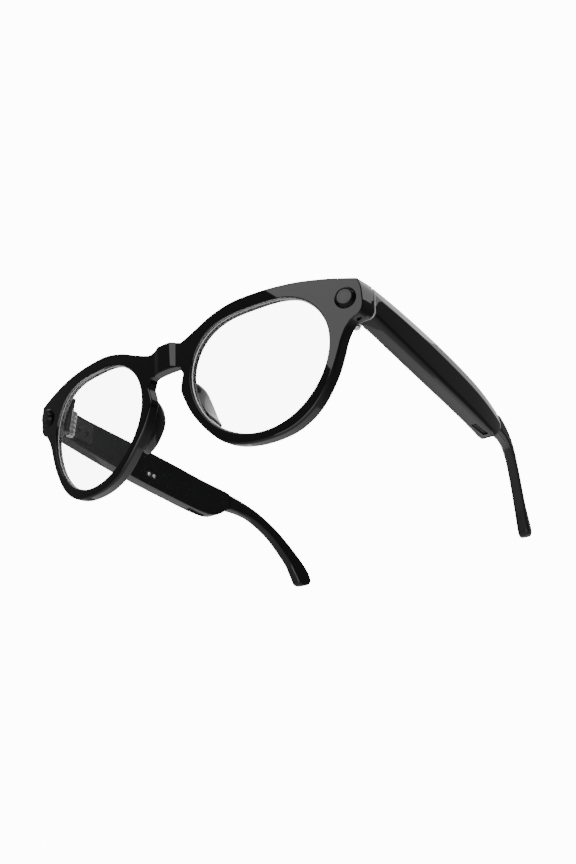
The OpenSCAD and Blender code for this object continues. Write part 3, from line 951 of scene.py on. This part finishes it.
@dataclass
class Temple:
    """One temple: its shell with the slim ear tip, and the inner cover."""

    side: Side
    front_y: float = 14.0
    cover_start: float = 27.4
    cover_thickness: float = 1.2
    wall: float = 1.3
    rounding: float = 0.4
    bullet_start: float = 94.6
    bullet_length: float = 7.4

    OUTER = ((12, 71), (30, 71.2), (50, 71), (70, 70.4), (85, 69.6), (98, 68), (110, 66), (120, 63.7),
             (130, 60.5), (140, 57.2), (151, 54.4))
    INNER = ((12, 65), (30, 65.2), (50, 65), (70, 64.4), (85, 63.6), (98, 62), (110, 61.1), (120, 58.8),
             (130, 55.6), (140, 52.3), (151, 49.5))
    TOP = ((14, 20.8), (30, 20.8), (50, 20.6), (70, 20), (85, 19), (96, 18.2), (104, 17.6))
    LOW = ((14, 10.2), (30, 8.5), (50, 6.8), (70, 5.7), (84, 5.0), (91, 4.9), (94.6, 5.5), (98.6, 7.8),
           (102.2, 10.8), (105, 12.0))
    TIP = ((102.1, 17.8, 102.1, 10.8), (111, 16.8, 110, 11.0), (120, 13.9, 117.3, 9.6), (130, 7.7, 126.3, 4.4),
           (139.6, -0.8, 135.2, -4.4), (145.2, -6.4, 138.6, -9.4), (147.1, -9.8, 140.3, -12.0))

    def faces_at(self, y: float) -> Point:
        """Inner and outer face of the body at a distance back."""
        return lookup(self.inner_curve, y), lookup(self.outer_curve, y)

    def __post_init__(self) -> None:
        """Samples the side curves once."""
        self.outer_curve = smooth_curve(self.OUTER, 8)
        self.inner_curve = smooth_curve(self.INNER, 8)
        self.top_curve = smooth_curve(self.TOP, 8)
        self.low_curve = smooth_curve(self.LOW, 8)

    @staticmethod
    def section(chamfer: float, under: float, inner: float, width: float, height: float) -> list[Point]:
        """Makes the outline of a cross-section, starting at the lower inner corner.

        Args:
            chamfer: height of the slanting face at the upper outer edge.
            under: rounding of the lower outer edge.
            inner: rounding of the two inner edges.
            width: full width.
            height: full height.

        Returns:
            Points (across from the inner face, up from the lower edge).
        """
        def arc(cx: float, cz: float, radius: float, start: float) -> list[Point]:
            """Makes a quarter of a circle in six steps."""
            angles = [math.radians(start + 15 * k) for k in range(7)]
            return [(cx + radius * math.cos(a), cz + radius * math.sin(a)) for a in angles]

        slant = chamfer * 0.27
        top = [(width, height - chamfer * 1.12), (width - slant * 0.03, height - chamfer * 0.97),
               (width - slant * 0.3, height - chamfer * 0.66), (width - slant * 0.6, height - chamfer * 0.34),
               (width - slant * 0.88, height - chamfer * 0.08), (width - slant * 1.0, height - 0.03),
               (width - slant * 1.2, height)]
        return (arc(inner, inner, inner, 180) + arc(width - under, under, under, 270) + top
                + arc(inner, height - inner, inner, 90))

    def ring(self, rows: "Ring") -> list[Vector]:
        """Places one cross-section in space.

        Args:
            rows: the cross-section's place and shape.

        Returns:
            Its points in millimetres.
        """
        top, low = Vector(rows.top), Vector(rows.low)
        rise = top - low
        height = rise.length
        rise.normalize()
        inner, outer = self.faces_at((top.x + low.x) / 2)
        width = outer - inner - rows.inset_out - rows.inset_in
        shape = self.section(rows.chamfer, rows.under, rows.inner, width, height - 2 * rows.shrink)
        out = []
        for across, up in shape:
            place = low + rise * (up + rows.shrink)
            face_in, face_out = self.faces_at(place.x)
            room = face_out - face_in - rows.inset_out - rows.inset_in
            x = face_in + rows.inset_in + across * room / width
            lift = rows.lean * max(0.0, up / height - 0.5) * 2 * (0.7 - across / width)
            out.append(Vector((x, place.x, place.y + lift)))
        return out

    def body_ring(self, y: float, **shape: float) -> "Ring":
        """Describes an upright cross-section of the body at y."""
        lean = 1.3 * max(0.0, 1 - (y - 14) / 18) ** 2
        shape.setdefault("chamfer", 2.7 + 2.4 * (y - 14) / 82)
        return Ring((y, lookup(self.top_curve, y)), (y, lookup(self.low_curve, y)), lean=lean, **shape)

    def shell_rings(self) -> list["Ring"]:
        """Lists the cross-sections of the shell from the hinge to the end of the tip."""
        rings = []
        for a in (0.0, 0.4, 0.8, 1.2, math.pi / 2):
            back, inwards = self.rounding * (1 - math.cos(a)), self.rounding * (1 - math.sin(a))
            rings.append(self.body_ring(self.front_y + back, shrink=inwards, inset_in=inwards,
                                        inset_out=inwards))
        rings += [self.body_ring(y) for y in (16, 19, 22, 25, self.cover_start)]
        recess = {"inset_in": self.cover_thickness, "inner": 0.04}
        rings += [self.body_ring(self.cover_start + 0.001, **recess)]
        rings += [self.body_ring(30 + 3.35 * k, **recess) for k in range(19)]
        rings += [self.body_ring(y, **recess) for y in (92, self.bullet_start)]
        for a in (10, 20, 30, 40, 50, 60, 70, 80, 86):
            rings.append(self.bullet_ring(a, **recess))
        return rings + self.tip_rings()

    def bullet_ring(self, angle: float, inset_in: float = 0.0, inner: float = 0.5) -> "Ring":
        """Describes a cross-section of the body's rounded end, angle degrees round it."""
        a = math.radians(angle)
        y = self.bullet_start + self.bullet_length * math.sin(a)
        drop = 1 - math.cos(a)
        top, low = lookup(self.top_curve, y), lookup(self.low_curve, y)
        return Ring((y, top), (y, low), inset_in=inset_in, inner=inner,
                    inset_out=0.75 * drop, chamfer=5.1 - 1.5 * drop, under=2.0 - 0.4 * drop)

    def tip_rings(self) -> list["Ring"]:
        """Lists the cross-sections of the ear tip."""
        rings = []
        count = 44
        for k in range(1, count + 1):
            y0, z0, y1, z1 = curve_value(self.TIP, (len(self.TIP) - 1) * k / count)
            flare = 1.4 * max(0.0, k / count - 0.45)
            rings.append(Ring((y0, z0), (y1, z1), inset_out=0.75 - flare, inner=1.2, under=1.5, chamfer=1.5))
        last = self.TIP[-1]
        top, low = Vector(last[:2]), Vector(last[2:])
        middle, half = (top + low) / 2, (top - low) / 2
        forward = Vector((0.3, -0.954))
        for angle in (12, 24, 36, 46, 56, 65, 73, 80, 85, 88):
            a = math.radians(angle)
            centre = middle + forward * 2.6 * math.sin(a)
            keep = math.cos(a) ** 0.5
            soft = 1.6 * (1 - math.cos(a) ** 0.7)
            reach = half.length * keep
            rings.append(Ring(tuple(centre + half * keep), tuple(centre - half * keep),
                              inset_out=soft * 0.8 - 0.02, inset_in=soft * 0.8, inner=min(1.2, reach * 0.7),
                              under=min(1.5, reach * 0.7), chamfer=min(1.5, reach * 0.9)))
        return rings

    def loft(self, name: str, rings: Sequence["Ring"]) -> bpy.types.Object:
        """Skins cross-sections, closes both ends and puts the piece on its side.

        Args:
            name: the piece's name.
            rings: the cross-sections in order.

        Returns:
            The new piece.
        """
        sections = [self.ring(ring) for ring in rings]
        around = len(sections[0])

        def place(u: float, v: float) -> Sequence[float]:
            """Reads the point from the sections."""
            return sections[round(u * (len(sections) - 1))][round(v * around) % around]

        item = mapped_grid(name, len(sections) - 1, around, place, closed=True)
        close_ends(item)
        return item

    def hollow(self) -> bpy.types.Object:
        """Builds the shape of the room inside the shell."""
        rings = [self.body_ring(30 + 4 * k, inset_in=0.4, inset_out=self.wall, shrink=self.wall, inner=0.3,
                                under=1.0, chamfer=0.6) for k in range(17)]
        return self.loft("hollow", rings)

    def build_shell(self) -> bpy.types.Object:
        """Builds the shell of the left temple."""
        item = self.loft(f"{self.side.body}_shell_finished", self.shell_rings())
        carve(item, self.hollow())
        return item

    def build_cover(self) -> bpy.types.Object:
        """Builds the cover on the inner side, a slab that follows the temple."""
        thick = self.cover_thickness - 0.04

        def cover_ring(y: float, shrink: float, drop: float = 0.0) -> "Ring":
            """Describes one cross-section of the cover."""
            past = (y - self.bullet_start) / self.bullet_length
            base = self.body_ring(y) if past < 0 else self.bullet_ring(math.degrees(math.asin(past)))
            inner, outer = self.faces_at(y)
            return Ring(base.top, base.low, lean=base.lean, inset_out=outer - inner - thick, inner=0.35,
                        under=0.03, chamfer=0.06, shrink=shrink, inset_in=drop)

        ys = [28 + 3.5 * k for k in range(19)] + [94.5, 96, 97.2, 98.4, 99.4, 100.2, 101]
        rings = [cover_ring(27.43, 0.25, 0.25), cover_ring(27.5, 0.09, 0.09), cover_ring(27.68, 0.0)]
        rings += [cover_ring(y, 0.0) for y in ys]
        rings += [cover_ring(101.6, 0.0), cover_ring(101.9, 0.0), cover_ring(101.95, 0.04, 0.04)]
        return self.loft(f"{self.side.body}_cover_finished", rings)

    def build(self, palette: "Palette") -> None:
        """Builds and dresses one temple."""
        shell, cover = self.build_shell(), self.build_cover()
        carve(shell, rounded_box("speaker_port", (65.2, 82, 2), (67.2, 91, 8), 0.2, 2))
        if self.side is Side.LEFT:
            carve(cover, rounded_box("switch_slot", (60, 33.5, 14.3), (70, 38.5, 16.1), 0.2, 2))
        else:
            carve(shell, rounded_box("button_slot", (67.1, 20.1, 17.4), (69.5, 27.9, 23), 1.0, 4))
            carve(cover, rounded_box("contact_window", (60, 55.6, 9.5), (68, 61.6, 12.5), 0.9, 4))
        for item, part, colours in ((shell, "shell", ("polished_black", "parting_edge")),
                                    (cover, "cover", ("inner_black",))):
            if self.side is Side.RIGHT:
                for vertex in item.data.vertices:
                    vertex.co.x = -vertex.co.x
                with editing(item):
                    bpy.ops.mesh.flip_normals()
            finish_shading(item, 32)
            stand_for(item, f"{self.side.body}_{part}", *(palette[colour] for colour in colours))
        # The shell's front rounding takes the paler second finish, a painted highlight for the thin bright line
        # at the joint with the end piece.
        limit = (self.front_y + self.rounding) * MM
        paint(shell, lambda centre, normal: centre.y < limit and normal.y > -0.98)


@dataclass(frozen=True)
class Ring:
    """One cross-section of a temple: its top and low point (y, z) and its shape."""

    top: Point
    low: Point
    shrink: float = 0.0
    inset_in: float = 0.0
    inset_out: float = 0.0
    lean: float = 0.0
    inner: float = 0.5
    under: float = 2.0
    chamfer: float = 1.6


# ---- small parts ------------------------------------------------------------------------------


@dataclass
class SmallParts:
    """Hinges, screws, controls, contacts and the parts inside, rounded and dressed."""

    PAINTED = ("left_hinge_rear", "right_hinge_rear")
    PAINT_FROM = 17.45
    ROUNDING = {"hinge_front": 0.1, "hinge_rear": 0.1, "hinge_pin": 0.12, "front_screws": 0.05,
                "rear_screws": 0.05}
    COLOURS = {
        "pad_black": "inner_black", "window_dark": "window_black", "sensor_dark": "satin_black",
        "board_green": "solder_mask", "flex_amber": "polyimide", "mic_metal": "hinge_nickel",
        "hinge_metal": "hinge_nickel", "screw_metal": "bright_steel", "battery_wrap": "cell_film",
        "speaker_black": "moulded_black", "grille_black": "satin_black", "core_steel": "bright_steel",
        "contact_metal": "contact_plate", "button_black": "satin_black", "bezel_black": "satin_black",
    }

    def build(self, palette: "Palette") -> None:
        """Replaces the visible small parts and dresses those kept from the frame."""
        done = set()
        for side in Side:
            for part, width in self.ROUNDING.items():
                node = f"{side.word}_{part}"
                colour = "satin_black" if part == "rear_screws" else self.COLOURS[slot_of(node)]
                item = softened_node(node, width, 3)
                coats = (colour, "satin_black") if node in self.PAINTED else (colour,)
                stand_for(item, node, *(palette[coat] for coat in coats))
                if node in self.PAINTED:
                    paint(item, lambda centre, normal: centre.y > self.PAINT_FROM * MM)
                done.add(node)
        for node, width in (("power_switch", 0.12), ("capture_button", 0.3), ("charging_contacts", 0.3),
                            ("contact_carrier", 0.1), ("left_speaker_grille", 0.08),
                            ("right_speaker_grille", 0.08)):
            colour = self.COLOURS.get(slot_of(node), "satin_black")
            stand_for(softened_node(node, width, 3), node, palette[colour])
            done.add(node)
        for entry in frame["record"]["subparts"]:
            node = entry["node"]
            colour = self.COLOURS.get(entry["material_slot"])
            item = frame["nodes"][node]
            if node not in done and colour and item.name in bpy.data.objects:
                item.data.materials.clear()
                item.data.materials.append(palette[colour])


# ---- studio -----------------------------------------------------------------------------------


@dataclass
class Studio:
    """Camera, light and the pale floor."""

    azimuth: float = 38.5425
    elevation: float = -27.0045
    roll: float = 1.7377
    distance: float = 280.7294
    lens: float = 42.056
    target: tuple[float, float, float] = (50.7673, 0.0, -27.8737)
    floor_z: float = -0.5
    floor_size: float = 60.0
    floor_glow: float = 2.5
    surround_seen: float = 13.0
    surround_reflected: float = 0.14

    def axes(self) -> tuple[Vector, Vector, Vector]:
        """Right, up and backward direction of the camera."""
        a, e, r = (math.radians(v) for v in (self.azimuth, self.elevation, self.roll))
        right = Vector((math.cos(a), math.sin(a), 0))
        back = Vector((math.sin(a) * math.cos(e), -math.cos(a) * math.cos(e), math.sin(e)))
        up = back.cross(right)
        return math.cos(r) * right + math.sin(r) * up, math.cos(r) * up - math.sin(r) * right, back

    def add_camera(self) -> None:
        """Places the camera."""
        right, up, back = self.axes()
        data = bpy.data.cameras.new("camera")
        data.lens = self.lens
        data.sensor_width = 36.0
        data.clip_start = 0.01
        camera = bpy.data.objects.new("camera", data)
        bpy.context.collection.objects.link(camera)
        place = (Vector(self.target) + back * self.distance) * MM
        camera.matrix_world = Matrix((
            (right.x, up.x, back.x, place.x), (right.y, up.y, back.y, place.y),
            (right.z, up.z, back.z, place.z), (0, 0, 0, 1)))
        bpy.context.scene.camera = camera

    def add_card(self, name: str, aim: Sequence[float], edge: tuple[Sequence[float], Sequence[float]],
                 distance: float, size: Point, radiance: float, turn: float = 0.0) -> bpy.types.Object:
        """Places a soft light card above a line of sight.

        Args:
            name: the light's name.
            aim: the point it faces, in millimetres.
            edge: two directions from that point that its lower edge passes through.
            distance: metres from the point.
            size: width and height in metres.
            radiance: how bright its face is.
            turn: degrees it is moved sideways along the line.

        Returns:
            The light object.
        """
        data = bpy.data.lights.new(name, "AREA")
        data.shape = "RECTANGLE"
        data.size, data.size_y = size
        data.energy = radiance * math.pi * size[0] * size[1]
        card = bpy.data.objects.new(name, data)
        bpy.context.collection.objects.link(card)
        card.visible_camera = False
        card.visible_transmission = False
        first, second = (Vector(way).normalized() for way in edge)
        above = first.cross(second).normalized()
        above *= 1 if above.z > 0 else -1
        level = Matrix.Rotation(math.radians(turn), 3, above) @ (first + second).normalized()
        raised = math.atan2(size[1] / 2, distance)
        way = level * math.cos(raised) + above * math.sin(raised)
        rise = above * math.cos(raised) - level * math.sin(raised)
        across = rise.cross(way)
        place = Vector(aim) * MM + way * distance
        card.matrix_world = Matrix((
            (across.x, rise.x, way.x, place.x), (across.y, rise.y, way.y, place.y),
            (across.z, rise.z, way.z, place.z), (0, 0, 0, 1)))
        return card

    def add_world(self) -> None:
        """Makes a white surround that reads darker in reflections."""
        world = bpy.data.worlds.new("surround")
        bpy.context.scene.world = world
        world.use_nodes = True
        nodes, links = world.node_tree.nodes, world.node_tree.links
        shade = nodes["Background"]
        path = nodes.new("ShaderNodeLightPath")

        def combine(operation: str, first: bpy.types.NodeSocket,
                    second: bpy.types.NodeSocket) -> bpy.types.NodeSocket:
            """Combines two values; a difference is kept between 0 and 1."""
            node = nodes.new("ShaderNodeMath")
            node.operation = operation
            node.use_clamp = operation == "SUBTRACT"
            links.new(first, node.inputs[0])
            links.new(second, node.inputs[1])
            return node.outputs[0]

        turned_back = combine("ADD", path.outputs["Glossy Depth"], path.outputs["Diffuse Depth"])
        through = combine("SUBTRACT", path.outputs["Is Transmission Ray"], turned_back)
        seen = combine("MAXIMUM", path.outputs["Is Camera Ray"], through)
        mix = nodes.new("ShaderNodeMix")
        mix.inputs["A"].default_value = self.surround_reflected
        mix.inputs["B"].default_value = self.surround_seen
        links.new(seen, mix.inputs["Factor"])
        links.new(mix.outputs["Result"], shade.inputs["Strength"])
        shade.inputs["Color"].default_value = (1, 1, 1, 1)

    def add_floor(self) -> None:
        """Lays the pale floor well below."""
        deselect_all()
        bpy.ops.mesh.primitive_plane_add(size=self.floor_size, location=(0, 0.3, self.floor_z))
        floor = bpy.context.object
        floor.name = "floor"
        material = Finish("floor_paper", (0.9, 0.9, 0.9), (0.7, 0.8), (0.98, 1.0), scale=5.0).make(
            bpy.data.node_groups["handled_surface"])
        nodes, links = material.node_tree.nodes, material.node_tree.links
        path, direct = nodes.new("ShaderNodeLightPath"), nodes.new("ShaderNodeMath")
        direct.use_clamp = True
        links.new(path.outputs["Is Camera Ray"], direct.inputs[0])
        links.new(path.outputs["Is Transmission Ray"], direct.inputs[1])
        shader = nodes["Principled BSDF"]
        shader.inputs["Emission Color"].default_value = (*[self.floor_glow] * 3, 1.0)
        links.new(direct.outputs[0], shader.inputs["Emission Strength"])
        floor.data.materials.append(material)

    def build(self) -> None:
        """Sets up the whole studio."""
        self.add_camera()
        self.add_world()
        self.add_floor()
        self.add_card("front_card", (60, 0, 10), ((-0.283, -0.899, 0.325), (-0.123, -0.956, 0.222)),
                      0.9, (1.0, 0.56), 2.2)
        self.add_card("back_card", (60, 60, 10), ((-0.11, 0.899, 0.424), (0.262, 0.72, 0.643)),
                      0.9, (1.5, 1.0), 0.75, 22)
        self.add_card("low_card", (0, 0, 0), ((0.05, -0.8, -0.8), (0.5, -0.75, -0.8)), 0.45, (0.4, 0.25), 1.8)
        self.add_card("top_card", (0, 60, 0), ((-0.5, -0.3, 0.86), (0.5, -0.3, 0.86)), 0.9, (1.6, 1.2), 1.2)
        self.add_card("under_card", (60, 50, 5), ((-0.7, 0.6, -0.85), (0.1, 0.8, -0.85)),
                      0.5, (0.8, 0.4), 0.5)


def main() -> None:
    """Builds every sub-assembly in order."""
    logging.basicConfig(level=logging.INFO, format="%(message)s")
    palette = Palette()
    Front().build(palette)
    for side in Side:
        Temple(side).build(palette)
    SmallParts().build(palette)
    Studio().build()


if __name__ == "__main__":
    main()
